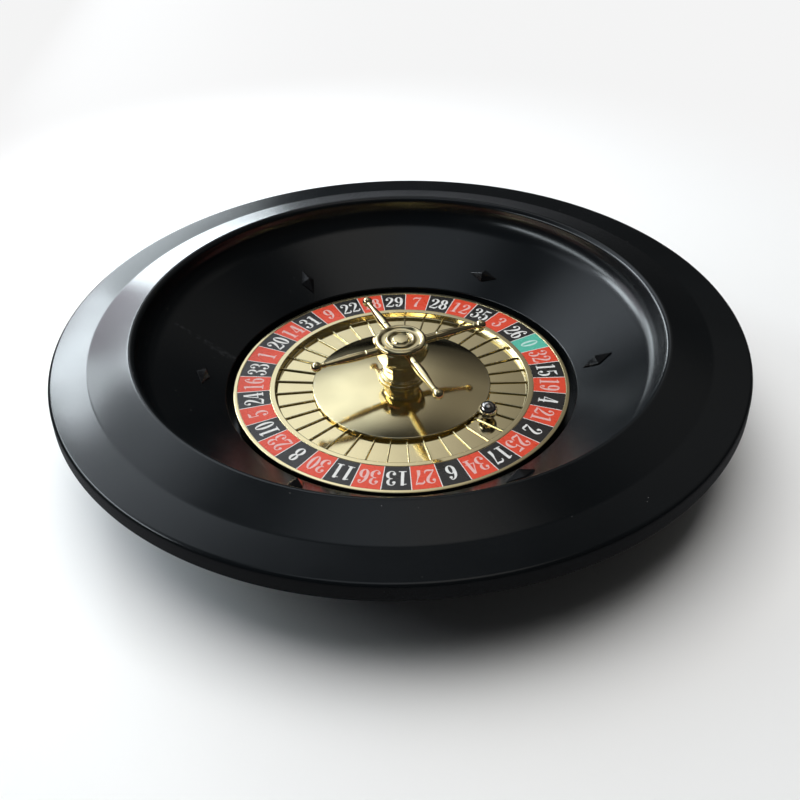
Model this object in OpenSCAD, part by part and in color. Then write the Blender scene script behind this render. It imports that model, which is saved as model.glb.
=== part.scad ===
// Table-top roulette wheel: a moulded bowl on rubber feet, with a plated wheel head that
// spins on a ball bearing, a four-armed turret, six deflectors and a steel ball.
// Origin: centre of the underside, on the table. +Z up along the spindle, -Y toward the player.

/* [Bowl] */
// Outer diameter of the brim
bowl_d = 406; // [396:1:420]
// Height of the lip's crest above the table
lip_z = 71.5; // [70:0.5:76]
// Radius of the ball track's upright wall
wall_r = 153.5; // [148:0.5:156]
// Radius of the curve between the slope and the upright wall
track_fillet = 18; // [10:0.5:20]
// Radius of the crease between the brim's two bands
crease_r = 181; // [174:0.5:186]
// Fall of the brim's inner band, in degrees
inner_fall = 17; // [12:0.5:20]
// Fall of the brim's outer band, in degrees
outer_fall = 7; // [3:0.5:9]
// Height of the brim's lower edge above the table
skirt_z = 51.5; // [46:0.5:54]
// Angle of the ball slope, in degrees
slope_a = 32; // [30:0.5:33]
// Radius of the opening that the wheel head turns in
hole_r = 106.5; // [105:0.5:108]
// Height of the opening's edge above the table
hole_z = 27.5; // [26:0.5:29]
// Wall thickness of the moulding
shell_t = 3; // [2:0.5:4]

/* [Deflectors] */
// Distance of each deflector's centre from the spindle
deflector_r = 120; // [116:0.5:122]
// Length of a deflector
deflector_l = 19.5; // [16:0.5:21]
// Width of a deflector
deflector_w = 9; // [7:0.5:10]
// Height of a deflector's peak above the slope
deflector_h = 4.6; // [3:0.1:6]

/* [Wheel head] */
// Outer radius of the wheel head
head_r = 102.5; // [100:0.5:103]
// Height of the printed ring's face above the table
ring_z = 26; // [25.5:0.5:27]
// Number of pockets
pockets = 37; // [37, 38]
// Direction of the zero pocket at rest, in degrees from +X
zero_a = 24.3; // [0:0.1:360]
// Radius of the pockets' outer wall
pocket_out = 77; // [75:0.5:78]
// Radius of the pockets' inner wall
pocket_in = 53; // [52:0.5:54]
// Depth of the pockets below the printed ring
pocket_depth = 3.5; // [3.2:0.1:4]
// Thickness of a fret between two pockets
fret_t = 1; // [0.8:0.1:1.2]
// Height of a fret above the pockets' floor
fret_h = 1; // [0.8:0.1:1.2]

/* [Ball] */
// Diameter of the ball
ball_d = 11.11; // [10:0.01:11.5]
// Distance of the resting ball from the spindle
ball_r = 60.8; // [60.5:0.1:66]
// Pocket that the ball rests in, counted clockwise from zero
ball_pocket = 6; // [0:1:36]

/* [Turret] */
// Reach of an arm's tip ball from the spindle
arm_reach = 53.5; // [50:0.5:54]
// Height of the arms above the table
arm_z = 52.2; // [51.8:0.1:52.4]
// Direction of the first arm at rest, in degrees from +X
arm_a = 22.5; // [0:0.1:90]
// Radius of the cap
cap_r = 15.6; // [14.6:0.2:16]

/* [Hidden] */
$fa = 3;
$fs = 0.5;

gap = 0.02;                 // radial clearance of pressed and bonded fits
moulded_black = "#16181b";
gloss_black = "#08090a";
gold = "#c9ad62";
steel = "#b9bcc0";

// bowl, worked out from the driving dimensions
rim_r = bowl_d / 2;
lip_round = 3.2;            // rounding of the lip
rim_round = 2.5;            // rounding of the brim's outer edge
hole_round = 1.2;           // rounding of the opening's edge
lip_c = [wall_r + lip_round, lip_z - lip_round];
band_start = lip_c + lip_round * [sin(inner_fall), cos(inner_fall)];
crease_z = band_start[1] - (crease_r - band_start[0]) * tan(inner_fall);
rim_c = [rim_r - rim_round,
         crease_z - (rim_r - rim_round + rim_round * sin(outer_fall) - crease_r) * tan(outer_fall)
         - rim_round * cos(outer_fall)];
track_r = wall_r - track_fillet;
track_z = slope_z(track_r + track_fillet * sin(slope_a)) + track_fillet * cos(slope_a);

foot_h = 5;                 // height of the bowl's floor above the table
floor_z = foot_h + shell_t; // top of the bowl's floor
base_ring_z = 3;            // lower edge of the well's wall
foot_r = 92;                // distance of the feet from the centre
foot_stem_r = 3;            // radius of the stem pushed into the floor
peg_r = 1.5;                // radius of the peg under a deflector
gussets = 12;

// spindle stack, from the table up
thread_r = 3;
boss_r = 14;
boss_z = 12;                // top of the bowl's centre boss
recess_r = 9.5;
recess_z = 9.6;             // ceiling of the recess for the nut
washer_t = 1.6;
flange_z = boss_z + 2;      // top of the spindle's flange
bearing_z = flange_z + 1;   // underside of the bearing
bearing_h = 7;
bearing_r = 11;
shaft_r = 4 - gap / 2;
spindle_top = 24;
clip_t = 0.8;               // thickness of the retaining ring
clip_groove_r = 3.7;        // radius at the bottom of the retaining ring's groove

// ball bearing
pitch_r = 7.5;
roller_r = 3.969 / 2;
groove_r = 2.04;
inner_land = 6.05;
outer_land = 8.95;
bearing_mid = bearing_z + bearing_h / 2;
roller_count = 7;

// wheel head
pocket_z = ring_z - pocket_depth;
head_t = 2;                 // wall thickness of the plated moulding
head_skirt_z = 20;          // lower edge of the moulding's outer wall
ring_in = 80.5;
ring_out = 100;
label_t = 0.3;
border_z = ring_z + 0.3;    // top of the raised gold borders
pocket_step = 360 / pockets;
hub_r = 15;                 // radius of the hub that holds the bearing
hub_top = bearing_z + bearing_h + 2;
cone_seat = pocket_z + fret_h; // top of the inner wall and of the frets
screw_r = 35;               // radius of the circle of cone screws
pilot_r = 1.3;              // radius of the cone's screw holes
pilot_top = pocket_z + 3.9; // upper end of the cone's screw holes

// cone: a shallow spherical dome with a flat land for the turret
dome_top = 29.8;
cone_r = 54.5;
cone_edge = cone_seat + 1.5;
dome_drop = dome_top - cone_edge;
dome_r = (cone_r * cone_r + dome_drop * dome_drop) / (2 * dome_drop);
cone_t = 1.6;
land_r = 14;
seat_z = dome_z(land_r);    // underside of the turret
cone_plate_z = 27.2;        // underside of the cone's centre plate

// turret
bolt_r = 2.5;
bolt_hole = bolt_r + 0.1;
base_h = 3.5;               // height of the turret's base
stem_h = 4.5;               // height of the turret's stem
hub_z = seat_z + base_h + stem_h;
cap_z = arm_z + 2.65;       // underside of the cap
arm_seat = 13.2;            // distance of the hub's flats from the spindle
arm_shank = 2.6;            // radius of an arm next to the hub
spigot_r = 1.25;            // radius of an arm's spigot in the hub
spigot_end = 6;             // distance of the spigot's end from the spindle

function slope_z(r) = hole_z + (r - hole_r) * tan(slope_a);
function dome_z(r) = dome_top - dome_r + sqrt(dome_r * dome_r - r * r);
function arc(c, r, from, to, steps = 8) =
    [for (i = [0:steps]) let (a = from + (to - from) * i / steps) c + r * [cos(a), sin(a)]];

// ---------------------------------------------------------------- bowl

// Section of the bowl's moulding, from the opening's edge outward and back underneath
module bowl_section() {
    thick = shell_t;
    edge_x = hole_r + hole_round;
    edge_c = [edge_x, slope_z(edge_x) - hole_round / cos(slope_a)];
    under_slope = slope_z(hole_r + thick) - thick / cos(slope_a);
    under_rim = crease_z - (rim_r - thick - crease_r) * tan(outer_fall) - thick / cos(outer_fall);
    under_crease = crease_z - thick / cos((inner_fall + outer_fall) / 2);
    under_lip = crease_z + (crease_r - wall_r - thick) * tan(inner_fall) - thick / cos(inner_fall);
    polygon(concat(
        arc(edge_c, hole_round, 180, 90 + slope_a, 4),
        arc([track_r, track_z], track_fillet, slope_a - 90, 0, 10),
        arc(lip_c, lip_round, 180, 90 - inner_fall, 8),
        [[crease_r, crease_z]],
        arc(rim_c, rim_round, 90 - outer_fall, 0, 6),
        [[rim_r, skirt_z],
         [rim_r - thick, skirt_z],
         [rim_r - thick, under_rim],
         [crease_r, under_crease],
         [wall_r + thick, under_lip]],
        arc([track_r, track_z], track_fillet + thick, 0, slope_a - 90, 10),
        [[hole_r + thick, under_slope],
         [hole_r + thick, base_ring_z],
         [hole_r, base_ring_z],
         [hole_r, foot_h],
         [recess_r, foot_h],
         [recess_r, recess_z],
         [thread_r + 0.1, recess_z],
         [thread_r + 0.1, boss_z],
         [boss_r, boss_z],
         [boss_r, floor_z],
         [hole_r, floor_z]]));
}

// Upright rib that stiffens the underside of the slope
module gusset() {
    t = 2.4;
    tip_h = 5;
    inside = hole_r + shell_t - 1;
    outside = track_r + 6;
    rotate([90, 0, 0])
    translate([0, 0, -t / 2])
    linear_extrude(t)
    polygon([
        [inside, floor_z],
        [inside, slope_z(inside) - shell_t],
        [outside, slope_z(outside) - shell_t],
        [outside, slope_z(outside) - shell_t - tip_h]]);
}

// Places its children on the ball slope, with local +X up the slope and +Z out of it
module on_slope(a) {
    rotate([0, 0, a])
    translate([deflector_r, 0, slope_z(deflector_r)])
    rotate([0, -slope_a, 0])
    children();
}

// Direction of deflector n: they stand 60 degrees apart
function deflector_dir(n) = 1.3 - 60 * (n - 1);

module bowl() {
    color(moulded_black)
    difference() {
        union() {
            rotate_extrude() bowl_section();
            for (i = [0:gussets - 1]) rotate([0, 0, (i + 0.5) * 360 / gussets]) gusset();
        }
        for (n = [1:6]) on_slope(deflector_dir(n)) translate([0, 0, -6]) cylinder(h = 7, r = peg_r + 0.05);
        for (n = [1:4]) foot_place(n) cylinder(h = floor_z + 1, r = foot_stem_r + gap);
    }
}

// ---------------------------------------------------------------- deflectors

// Solid region below the ball slope, which shapes the deflectors' undersides
module below_slope() {
    rotate_extrude($fn = 240)
    polygon([
        [hole_r, 0],
        [hole_r, hole_z],
        [track_r, slope_z(track_r)],
        [track_r, 0]]);
}

// Diamond with four facets that meet at a peak
module diamond() {
    l = deflector_l / 2;
    w = deflector_w / 2;
    side = 0.7;
    polyhedron(
        points = [
            [l, 0, -1], [0, w, -1], [-l, 0, -1], [0, -w, -1],
            [l, 0, side], [0, w, side], [-l, 0, side], [0, -w, side],
            [0, 0, deflector_h]],
        faces = [
            [0, 1, 2, 3],
            [0, 4, 5, 1], [1, 5, 6, 2], [2, 6, 7, 3], [3, 7, 4, 0],
            [4, 8, 5], [5, 8, 6], [6, 8, 7], [7, 8, 4]]);
}

// Odd deflectors point along the slope, even ones across it
module deflector(n) {
    color(gloss_black) {
        union() {
            difference() {
                on_slope(deflector_dir(n)) rotate([0, 0, n % 2 == 1 ? 0 : 90]) diamond();
                below_slope();
            }
            on_slope(deflector_dir(n)) translate([0, 0, -4]) cylinder(h = 5, r = peg_r);
        }
    }
}

module deflector_1() { deflector(1); }
module deflector_2() { deflector(2); }
module deflector_3() { deflector(3); }
module deflector_4() { deflector(4); }
module deflector_5() { deflector(5); }
module deflector_6() { deflector(6); }

// ---------------------------------------------------------------- feet

module foot_place(n) {
    rotate([0, 0, 45 + 90 * (n - 1)]) translate([foot_r, 0, 0]) children();
}

// Push-in rubber foot: a chamfered pad under a stem
module foot(n) {
    pad_r = 10;
    head_z = floor_z + 0.6;
    color("#1d1d1d")
    foot_place(n)
    rotate_extrude()
    polygon([
        [0, 0], [pad_r - 1, 0], [pad_r, 1], [pad_r, foot_h],
        [foot_stem_r, foot_h], [foot_stem_r, floor_z], [foot_stem_r - 0.6, head_z], [0, head_z]]);
}

module foot_1() { foot(1); }
module foot_2() { foot(2); }
module foot_3() { foot(3); }
module foot_4() { foot(4); }

// ---------------------------------------------------------------- spindle

// Shouldered steel pin: threaded end down, flange, shaft and a groove for the retaining ring
module spindle() {
    end_z = 2;
    flange_r = 8;
    groove_z = bearing_z + bearing_h;
    groove_top = groove_z + clip_t + 0.05;
    color(steel)
    rotate_extrude()
    polygon([
        [0, end_z], [thread_r - 0.6, end_z], [thread_r, end_z + 0.6], [thread_r, boss_z],
        [flange_r, boss_z], [flange_r, flange_z - 0.3], [flange_r - 0.3, flange_z],
        [shaft_r, flange_z], [shaft_r, groove_z],
        [clip_groove_r, groove_z], [clip_groove_r, groove_top],
        [shaft_r, groove_top],
        [shaft_r, spindle_top - 0.5], [shaft_r - 0.5, spindle_top], [0, spindle_top]]);
}

module spindle_washer() {
    color(steel)
    translate([0, 0, recess_z - washer_t])
    difference() {
        cylinder(h = washer_t, r = 6);
        translate([0, 0, -1]) cylinder(h = 4, r = thread_r + 0.2);
    }
}

// Hexagon nut with chamfered corners
module spindle_nut() {
    h = 5;
    across_flats = 10;
    across_corners = across_flats / cos(30);
    color(steel)
    translate([0, 0, recess_z - washer_t - h])
    difference() {
        intersection() {
            cylinder(h = h, r = across_corners / 2, $fn = 6);
            rotate_extrude()
            polygon([[0, 0], [5, 0], [5.8, 0.5], [5.8, h - 0.5], [5, h], [0, h]]);
        }
        translate([0, 0, -1]) cylinder(h = h + 2, r = thread_r + gap);
    }
}

module bearing_spacer() {
    color(steel)
    translate([0, 0, flange_z])
    difference() {
        cylinder(h = bearing_z - flange_z, r = 5.6);
        translate([0, 0, -1]) cylinder(h = 4, r = 4 + gap);
    }
}

// Circlip: an open ring with two lugs
module retaining_ring() {
    lug = [5.4, 1.55];
    color("#3c3d40")
    translate([0, 0, bearing_z + bearing_h])
    difference() {
        union() {
            cylinder(h = clip_t, r = 5.5);
            for (s = [-1, 1]) translate([lug[0], s * lug[1], 0]) cylinder(h = clip_t, r = 1.3);
        }
        translate([0, 0, -1]) cylinder(h = 3, r = clip_groove_r + gap);
        translate([0, -0.6, -1]) cube([9, 1.2, 3]);
        for (s = [-1, 1]) translate([lug[0], s * lug[1], -1]) cylinder(h = 3, r = 0.6);
    }
}

// ---------------------------------------------------------------- bearing

module race(inside, outside) {
    color(steel)
    translate([0, 0, bearing_mid])
    rotate_extrude()
    difference() {
        translate([inside, -bearing_h / 2]) square([outside - inside, bearing_h]);
        translate([pitch_r, 0]) circle(r = groove_r, $fn = 64);
    }
}

module bearing_inner_race() { race(4, inner_land); }
module bearing_outer_race() { race(outer_land, bearing_r); }

module roller_places() {
    for (i = [0:roller_count - 1])
        rotate([0, 0, i * 360 / roller_count]) translate([pitch_r, 0, bearing_mid]) children();
}

module bearing_cage() {
    color("#a8884a")
    difference() {
        translate([0, 0, bearing_mid])
        rotate_extrude() translate([pitch_r - 0.5, -2.4]) square([1, 4.8]);
        roller_places() sphere(r = groove_r, $fn = 64);
    }
}

module bearing_balls() {
    color(steel) roller_places() sphere(r = roller_r, $fn = 64);
}

// Two thin pressed shields, one near each face of the bearing
module bearing_shields() {
    color("#8f9296")
    for (z = [bearing_z + 0.25, bearing_z + bearing_h - 0.6])
        translate([0, 0, z])
        rotate_extrude() translate([inner_land + 0.2, 0]) square([outer_land - inner_land - 0.22, 0.35]);
}

// ---------------------------------------------------------------- wheel head

// Section of the plated moulding, from the outer border inward and back underneath
module pocket_wheel_section() {
    under = pocket_z - head_t;
    land_z = ring_z - label_t;
    under_land = land_z - head_t;
    polygon(concat(
        [[head_r, head_skirt_z]],
        arc([head_r - 0.6, border_z - 0.6], 0.6, 0, 90, 4),
        [[ring_out + 0.3, border_z],
         [ring_out, border_z - 0.2],
         [ring_out, land_z],
         [ring_in, land_z],
         [ring_in, border_z - 0.2],
         [ring_in - 0.3, border_z]],
        arc([pocket_out + 0.5, border_z - 0.5], 0.5, 90, 180, 4),
        arc([pocket_out - 1.2, pocket_z + 0.8], 0.8, 0, -90, 4),
        [[pocket_in, pocket_z],
         [pocket_in, cone_seat],
         [pocket_in - 1.5, cone_seat],
         [pocket_in - 1.5, pocket_z],
         [hub_r, pocket_z],
         [hub_r, hub_top],
         [outer_land + 0.45, hub_top],
         [outer_land + 0.45, bearing_z + bearing_h],
         [bearing_r + gap, bearing_z + bearing_h],
         [bearing_r + gap, bearing_z],
         [hub_r, bearing_z],
         [hub_r, under],
         [pocket_out + 1.6, under],
         [pocket_out + 1.6, under_land],
         [head_r - head_t, under_land],
         [head_r - head_t, head_skirt_z]]));
}

// Fret: a low wall between two pockets, from the inner wall to the outer one
module fret() {
    buried = 0.5;
    translate([pocket_in - 1, -fret_t / 2, pocket_z - buried])
    cube([pocket_out + 0.5 - (pocket_in - 1), fret_t, fret_h + buried]);
}

// Rib that stiffens the underside of the moulding
module head_rib() {
    rib_h = 3;
    translate([hub_r - 1, -1, pocket_z - head_t - rib_h]) cube([pocket_out - hub_r, 2, rib_h + 0.5]);
}

module screw_places() {
    for (i = [0:2]) rotate([0, 0, arm_a + 60 + 120 * i]) translate([screw_r, 0, 0]) children();
}

module pocket_wheel() {
    color(gold)
    difference() {
        union() {
            rotate_extrude() pocket_wheel_section();
            for (i = [0:pockets - 1]) rotate([0, 0, zero_a + (i + 0.5) * pocket_step]) fret();
            for (i = [0:5]) rotate([0, 0, arm_a + 30 + 60 * i]) head_rib();
        }
        screw_places() translate([0, 0, pocket_z - head_t - 1]) cylinder(h = 6, r = 1.7);
    }
}

// Printed ring that lies in the recess between the two gold borders
module number_ring() {
    color("#c23b2e")
    translate([0, 0, ring_z - label_t])
    difference() {
        cylinder(h = label_t, r = ring_out - 0.1);
        translate([0, 0, -1]) cylinder(h = 2, r = ring_in + 0.1);
    }
}

module cone_section() {
    steps = 12;
    span = cone_r - 0.4 - land_r;
    under_span = pocket_in - 2 - land_r;
    polygon(concat(
        [for (i = [0:steps]) let (r = land_r + span * i / steps) [r, dome_z(r)]],
        [[cone_r, cone_edge - 0.3],
         [cone_r, cone_seat + 0.2],
         [cone_r - 0.2, cone_seat],
         [pocket_in - 2, cone_seat]],
        [for (i = [steps:-1:0]) let (r = land_r + under_span * i / steps) [r, dome_z(r) - cone_t]],
        [[land_r, cone_plate_z],
         [bolt_hole, cone_plate_z],
         [bolt_hole, seat_z]]));
}

// Dome over the middle of the wheel head, with three bosses for its screws
module cone() {
    boss_top = dome_z(screw_r) - cone_t + 0.5;
    color(gold)
    difference() {
        union() {
            rotate_extrude() cone_section();
            screw_places() translate([0, 0, pocket_z]) cylinder(h = boss_top - pocket_z, r = 3.5);
        }
        screw_places() translate([0, 0, pocket_z - 1]) cylinder(h = pilot_top - pocket_z + 1, r = pilot_r);
    }
}

// Pan-head screws that hold the cone from below
module cone_screws() {
    under = pocket_z - head_t;
    head_h = 1.8;
    shank_r = pilot_r - 0.05;
    tip_z = pilot_top - 0.5;
    color(steel)
    screw_places()
    difference() {
        rotate_extrude()
        polygon([
            [0, under - head_h], [2, under - head_h], [2.8, under - 1], [2.8, under],
            [shank_r, under], [shank_r, tip_z - 0.7], [0.6, tip_z], [0, tip_z]]);
        for (a = [0, 90])
            rotate([0, 0, a]) translate([-1.5, -0.3, under - 3]) cube([3, 0.6, 2.2]);
    }
}

// ---------------------------------------------------------------- turret

module turned(points) {
    color(gold) rotate_extrude() polygon(points);
}

// Flange with two beads
module turret_base() {
    translate([0, 0, seat_z])
    turned(concat(
        [[bolt_hole, 0], [13.4, 0]],
        arc([13.3, 0.8], 0.8, -90, 90, 6),
        [[12.2, 1.7], [12.1, 1.8]],
        arc([12, 2.4], 0.6, -80, 90, 6),
        [[11.5, 3.1], [11.2, base_h], [bolt_hole, base_h]]));
}

// Plain barrel between the flange and the hub
module turret_stem() {
    translate([0, 0, seat_z + base_h])
    turned([[bolt_hole, 0], [10.9, 0], [10.8, stem_h], [bolt_hole, stem_h]]);
}

// Direction of arm n
function arm_dir(n) = arm_a + 90 * (n - 1);

// Places its children along arm n, with local +Z pointing outward
module along_arm(n) {
    translate([0, 0, arm_z]) rotate([0, 90, arm_dir(n)]) children();
}

// Bulb-shaped hub on a bead, with a flat and a bore for each of the four arms
module turret_hub() {
    hub_h = cap_z - hub_z;
    bulb_r = 11.5;
    bulb_c = [5.7, 15];
    color(gold)
    difference() {
        intersection() {
            translate([0, 0, hub_z])
            rotate_extrude()
            polygon(concat(
                [[bolt_hole, 0], [10.9, 0]],
                arc([10.8, 0.5], 0.5, -80, 80, 4),
                arc(bulb_c, bulb_r, -62, 0, 10),
                [[bulb_c[0] + bulb_r, hub_h - 1], [bulb_c[0] + bulb_r - 1, hub_h], [bolt_hole, hub_h]]));
            rotate([0, 0, arm_a])
            translate([-arm_seat, -arm_seat, hub_z - 1])
            cube([2 * arm_seat, 2 * arm_seat, hub_h + 2]);
        }
        for (n = [1:4])
            along_arm(n) translate([0, 0, spigot_end - 0.2]) cylinder(h = 12, r = spigot_r + gap);
    }
}

// Cap with a broad rounded rim, a ring and a centre button
module turret_cap() {
    bore_top = 1.7;
    floor_h = 1.4;
    rim_curve = 1.9;
    translate([0, 0, cap_z])
    turned(concat(
        [[0, bore_top], [bolt_r + gap, bore_top], [bolt_r + gap, 0], [cap_r - 0.5, 0], [cap_r, 0.5]],
        arc([cap_r - rim_curve, 0.7], rim_curve, 0, 150, 8),
        [[cap_r - 4.2, floor_h], [9.4, floor_h]],
        arc([7.9, floor_h], 1.3, 5, 175, 6),
        [[5.3, floor_h], [4.8, 2.2], [4.4, 2.5], [0, 2.6]]));
}

// Turned handle: spigot, collar, groove, tapering grip, neck bead and tip ball
module turret_arm(n) {
    neck = arm_reach - 4.6;
    groove = arm_shank - 0.4;
    neck_r = 1.45;
    bead_r = 1.95;
    color(gold)
    along_arm(n)
    union() {
        rotate_extrude()
        polygon([
            [0, spigot_end], [spigot_r, spigot_end], [spigot_r, arm_seat],
            [arm_shank, arm_seat], [arm_shank, 22.4], [groove, 22.8],
            [groove, 23.4], [arm_shank, 23.8], [arm_shank + 0.2, 28],
            [arm_shank, 34], [arm_shank - 0.6, 41], [neck_r, neck - 1.5],
            [neck_r, neck - 0.8], [bead_r, neck - 0.5], [bead_r, neck + 0.3],
            [neck_r, neck + 0.7], [neck_r, arm_reach], [0, arm_reach]]);
        translate([0, 0, arm_reach]) sphere(r = 3.1);
    }
}

module turret_arm_1() { turret_arm(1); }
module turret_arm_2() { turret_arm(2); }
module turret_arm_3() { turret_arm(3); }
module turret_arm_4() { turret_arm(4); }

// Bolt that clamps the turret to the cone, with its head under the cone's centre plate
module turret_bolt() {
    head_h = 2.3;
    color(steel)
    difference() {
        rotate_extrude()
        polygon([
            [0, cone_plate_z - head_h], [4, cone_plate_z - head_h],
            [4.5, cone_plate_z - head_h + 0.5], [4.5, cone_plate_z],
            [bolt_r, cone_plate_z], [bolt_r, cap_z + 1], [bolt_r - 0.5, cap_z + 1.5], [0, cap_z + 1.5]]);
        translate([0, 0, cone_plate_z - head_h - 1]) cylinder(h = 2.3, r = 1.7, $fn = 6);
    }
}

// ---------------------------------------------------------------- ball

// Ball at rest on the floor of its pocket
module ball() {
    color(steel)
    rotate([0, 0, zero_a - ball_pocket * pocket_step])
    translate([ball_r, 0, pocket_z + ball_d / 2 + gap])
    sphere(d = ball_d);
}

bowl();
deflector_1();
deflector_2();
deflector_3();
deflector_4();
deflector_5();
deflector_6();
foot_1();
foot_2();
foot_3();
foot_4();
spindle();
spindle_washer();
spindle_nut();
bearing_spacer();
retaining_ring();
bearing_inner_race();
bearing_outer_race();
bearing_shields();
bearing_cage();
bearing_balls();
pocket_wheel();
number_ring();
cone();
cone_screws();
turret_base();
turret_stem();
turret_hub();
turret_cap();
turret_arm_1();
turret_arm_2();
turret_arm_3();
turret_arm_4();
turret_bolt();
ball();
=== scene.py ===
from math import atan2, cos, degrees, pi, radians, sin, sqrt, tan

import bmesh
import bpy
from mathutils import Matrix, Vector


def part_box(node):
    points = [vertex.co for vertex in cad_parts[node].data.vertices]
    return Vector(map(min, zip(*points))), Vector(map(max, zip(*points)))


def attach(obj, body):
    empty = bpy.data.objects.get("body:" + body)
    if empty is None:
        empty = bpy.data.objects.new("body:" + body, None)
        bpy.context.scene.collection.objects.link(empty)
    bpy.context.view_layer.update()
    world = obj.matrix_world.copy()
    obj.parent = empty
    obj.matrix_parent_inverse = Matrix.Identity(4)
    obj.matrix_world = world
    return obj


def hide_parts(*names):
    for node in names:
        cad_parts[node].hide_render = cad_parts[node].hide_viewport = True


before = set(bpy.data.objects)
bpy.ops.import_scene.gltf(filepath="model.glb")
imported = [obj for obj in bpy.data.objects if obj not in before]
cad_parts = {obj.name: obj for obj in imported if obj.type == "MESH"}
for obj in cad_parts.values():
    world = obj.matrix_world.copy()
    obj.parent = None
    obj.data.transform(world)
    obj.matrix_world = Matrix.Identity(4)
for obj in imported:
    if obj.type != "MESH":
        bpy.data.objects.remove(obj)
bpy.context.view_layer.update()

# Table-top roulette wheel: a moulded bowl with a plated wheel head, its turret and a ball.
# Pieces are modelled in millimetres, in the frame's own axes, and scaled to metres when settled.

MM = 0.001

# ---------------------------------------------------------------- dimensions


def corners(node):
    """Lowest and highest corner of a CAD node, in mm."""
    low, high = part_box(node)
    return low / MM, high / MM


bowl_low, bowl_high = corners("bowl")
rim_r = bowl_high.x
lip_z = bowl_high.z
base_ring_z = bowl_low.z
wall_r = 153.5
track_fillet = 18
crease_r = 181
inner_fall = radians(17)
outer_fall = radians(7)
skirt_z = 51.5
slope_a = radians(32)
hole_r = 106.5
hole_z = 27.5
shell_t = 3
lip_round = 3.2
rim_round = 2.5
foot_h = 5
floor_z = foot_h + shell_t
gussets = 12
boss_r = 14
boss_z = corners("spindle")[1].z - 12
deflector_r = 120
deflector_l = 19.5
deflector_w = 9
deflector_h = 4.6
deflectors = 6
deflector_a = 1.3
deflector_step = 360 / deflectors
feet = 4

head_r = corners("pocket_wheel")[1].x
head_skirt_z = 20
head_ribs = 6
ring_z = corners("number_ring")[1].z
label_t = 0.3
land_z = ring_z - label_t
border_z = ring_z + 0.3
ring_in = 80.5
ring_out = 100
pocket_out = 77
pocket_in = 53
pocket_z = ring_z - 3.5
head_t = 2
fret_t = 1
fret_h = 1
hub_r = 15
bearing_low, bearing_high = corners("bearing_outer_race")
hub_top = bearing_high.z + 2

cone_r = corners("cone")[1].x
cone_seat = pocket_z + fret_h
cone_edge = cone_seat + 1.5
cone_lip = pocket_in - 2
dome_top = 29.8
dome_drop = dome_top - cone_edge
dome_r = (cone_r ** 2 + dome_drop ** 2) / (2 * dome_drop)
cone_t = 1.6
land_r = 14
cone_plate_z = 27.2
screw_r = 35
cone_screws = 3

bolt_hole = 2.6
seat_z = corners("turret_base")[0].z
stem_z = corners("turret_stem")[0].z
stem_top = corners("turret_stem")[1].z
cap_z = corners("turret_cap")[0].z
cap_r = corners("turret_cap")[1].x
arm_z = cap_z - 2.65
arm_a = 22.5
arm_reach = 53.5
arm_seat = 13.2
arm_shank = 2.6
arms = 4
arm_step = 360 / arms

ball_low, ball_high = corners("ball")
ball_centre = (ball_low + ball_high) / 2
ball_radius = (ball_high.z - ball_low.z) / 2

# European order, clockwise from zero, seen from above
ORDER = [0, 32, 15, 19, 4, 21, 2, 25, 17, 34, 6, 27, 13, 36, 11, 30, 8, 23, 10,
         5, 24, 16, 33, 1, 20, 14, 31, 9, 22, 18, 29, 7, 28, 12, 35, 3, 26]
RED = {1, 3, 5, 7, 9, 12, 14, 16, 18, 19, 21, 23, 25, 27, 30, 32, 34, 36}
pockets = len(ORDER)
pocket_step = 360 / pockets
ball_pocket = 6
zero_a = degrees(atan2(ball_centre.y, ball_centre.x)) + ball_pocket * pocket_step


def slope_z(r):
    """Height of the bowl's slope at radius r."""
    return hole_z + (r - hole_r) * tan(slope_a)


def dome_z(r):
    """Height of the cone's domed top at radius r."""
    return dome_top - dome_r + sqrt(dome_r ** 2 - r ** 2)


# ---------------------------------------------------------------- outlines


def arc(centre, radius, start, end, steps=8):
    """Points along an arc, from angle start to angle end in degrees."""
    angles = [radians(start + (end - start) * i / steps) for i in range(steps + 1)]
    return [(centre[0] + radius * cos(a), centre[1] + radius * sin(a)) for a in angles]


def rounded(points, default=0.3, steps=4):
    """Closed (r, z) outline with softened corners. A third number in a point sets its own radius."""
    flat = [Vector(p[:2]) for p in points]
    sizes = [p[2] if len(p) > 2 else default for p in points]
    out = []
    for i, here in enumerate(flat):
        before, after = flat[i - 1] - here, flat[(i + 1) % len(flat)] - here
        turn = before.angle(after)
        if here.x < 1e-6 or sizes[i] == 0 or turn > radians(170):
            out.append(tuple(here))
            continue
        reach = min(sizes[i] / tan(turn / 2), 0.45 * before.length, 0.45 * after.length)
        start = here + before.normalized() * reach
        end = here + after.normalized() * reach
        for k in range(steps + 1):
            t = k / steps
            out.append(tuple(start * (1 - t) ** 2 + here * 2 * t * (1 - t) + end * t ** 2))
    return out


# ---------------------------------------------------------------- mesh helpers


def mesh_object(name, bm):
    """Object from a bmesh, with its normals facing out."""
    bmesh.ops.recalc_face_normals(bm, faces=bm.faces)
    mesh = bpy.data.meshes.new(name)
    bm.to_mesh(mesh)
    bm.free()
    obj = bpy.data.objects.new(name, mesh)
    bpy.context.scene.collection.objects.link(obj)
    return obj


def lathe(name, profile, steps=256):
    """Solid of revolution about Z from a closed outline of (r, z) points."""
    bm = bmesh.new()
    rings = []
    for r, z in profile:
        count = 1 if r < 1e-6 else steps
        turns = [2 * pi * k / steps for k in range(count)]
        rings.append([bm.verts.new((r * cos(a), r * sin(a), z)) for a in turns])
    for inner, outer in zip(rings, rings[1:] + rings[:1]):
        for k in range(steps):
            after = k + 1
            around = [inner[k % len(inner)], inner[after % steps % len(inner)],
                      outer[after % steps % len(outer)], outer[k % len(outer)]]
            face = list(dict.fromkeys(around))
            if len(face) > 2:
                bm.faces.new(face)
    return mesh_object(name, bm)


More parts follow.
